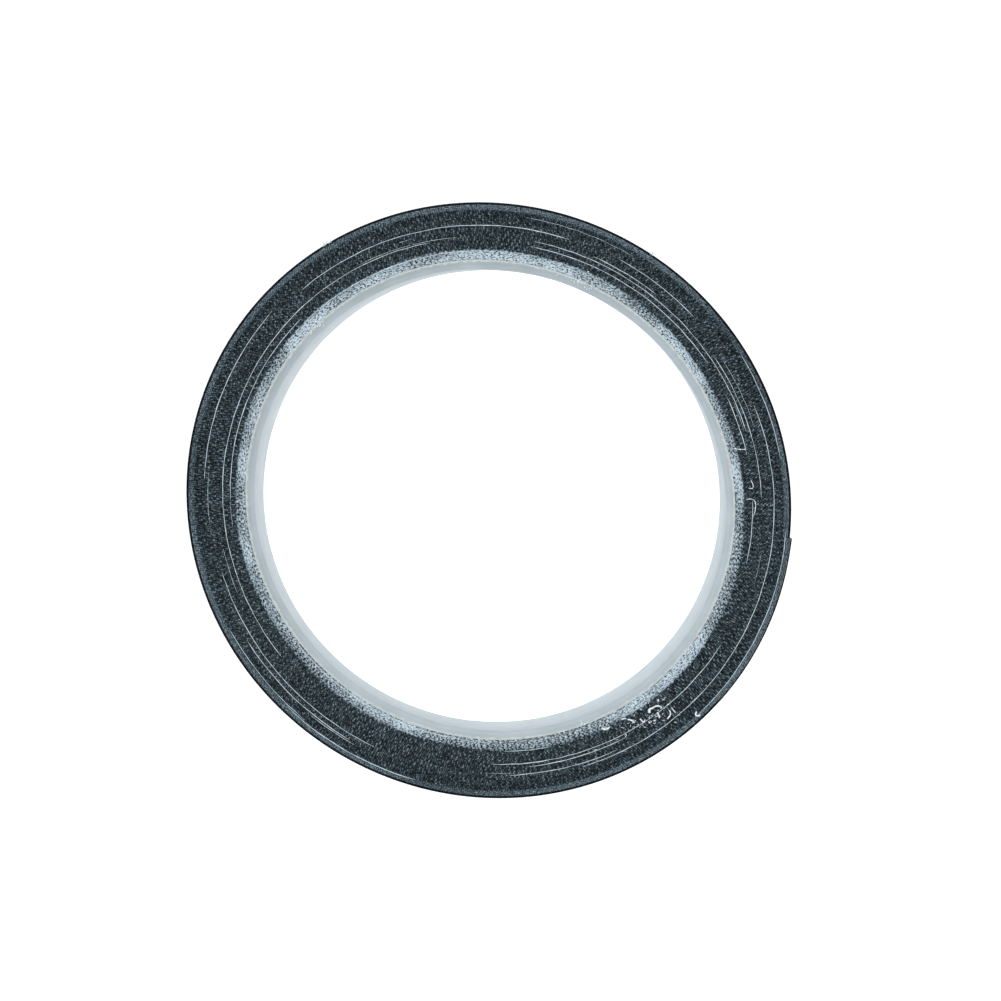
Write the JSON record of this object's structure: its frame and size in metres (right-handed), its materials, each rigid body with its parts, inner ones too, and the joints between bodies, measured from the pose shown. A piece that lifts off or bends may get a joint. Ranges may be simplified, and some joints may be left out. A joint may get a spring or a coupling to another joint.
{
  "type": "grip tape roll",
  "caption": "Roll of black woven cloth grip tape wound in a spiral on a milky plastic core, with a loose end that peels up.",
  "frame": {"origin": "centre of the core's bore at the slit face the roll lies on", "axes": "+Z along the bore, away from the surface the roll lies on; +X towards the tape's cut end, which lies 7.25 degrees clockwise of it seen from +Z"},
  "size_m": [0.0978, 0.098, 0.025],
  "materials": {
    "core_plastic": "milky translucent, smooth, with fine knife rings on the slit faces",
    "woven_cloth": "black plain-weave cotton, matt, with pale thread ends at the slit edges",
    "adhesive": "off-white tacky rubber adhesive, satin"
  },
  "bodies": {
    "roll": {"core": "core_plastic", "cloth_backing": "woven_cloth", "adhesive_layer": "adhesive"},
    "end_root": {"end_cloth_root": "woven_cloth", "end_adhesive_root": "adhesive"},
    "end_middle": {"end_cloth_middle": "woven_cloth", "end_adhesive_middle": "adhesive"},
    "end_tip": {"end_cloth_tip": "woven_cloth", "end_adhesive_tip": "adhesive"}
  },
  "joints": [
    {"name": "peel", "type": "hinge", "parent": "roll", "child": "end_root", "pos_m": [0.03924, -0.02975, 0.0125], "axis": [0, 0, -1], "range_deg": [0, 40]},
    {"name": "curl_middle", "type": "hinge", "parent": "end_root", "child": "end_middle", "pos_m": [0.04381, -0.02251, 0.0125], "axis": [0, 0, -1], "range_deg": [0, 40]},
    {"name": "curl_tip", "type": "hinge", "parent": "end_middle", "child": "end_tip", "pos_m": [0.04705, -0.01458, 0.0125], "axis": [0, 0, -1], "range_deg": [0, 40]}
  ],
  "couplings": [
    {"joint": "curl_middle", "follows": "peel", "ratio": 1},
    {"joint": "curl_tip", "follows": "peel", "ratio": 1}
  ]
}
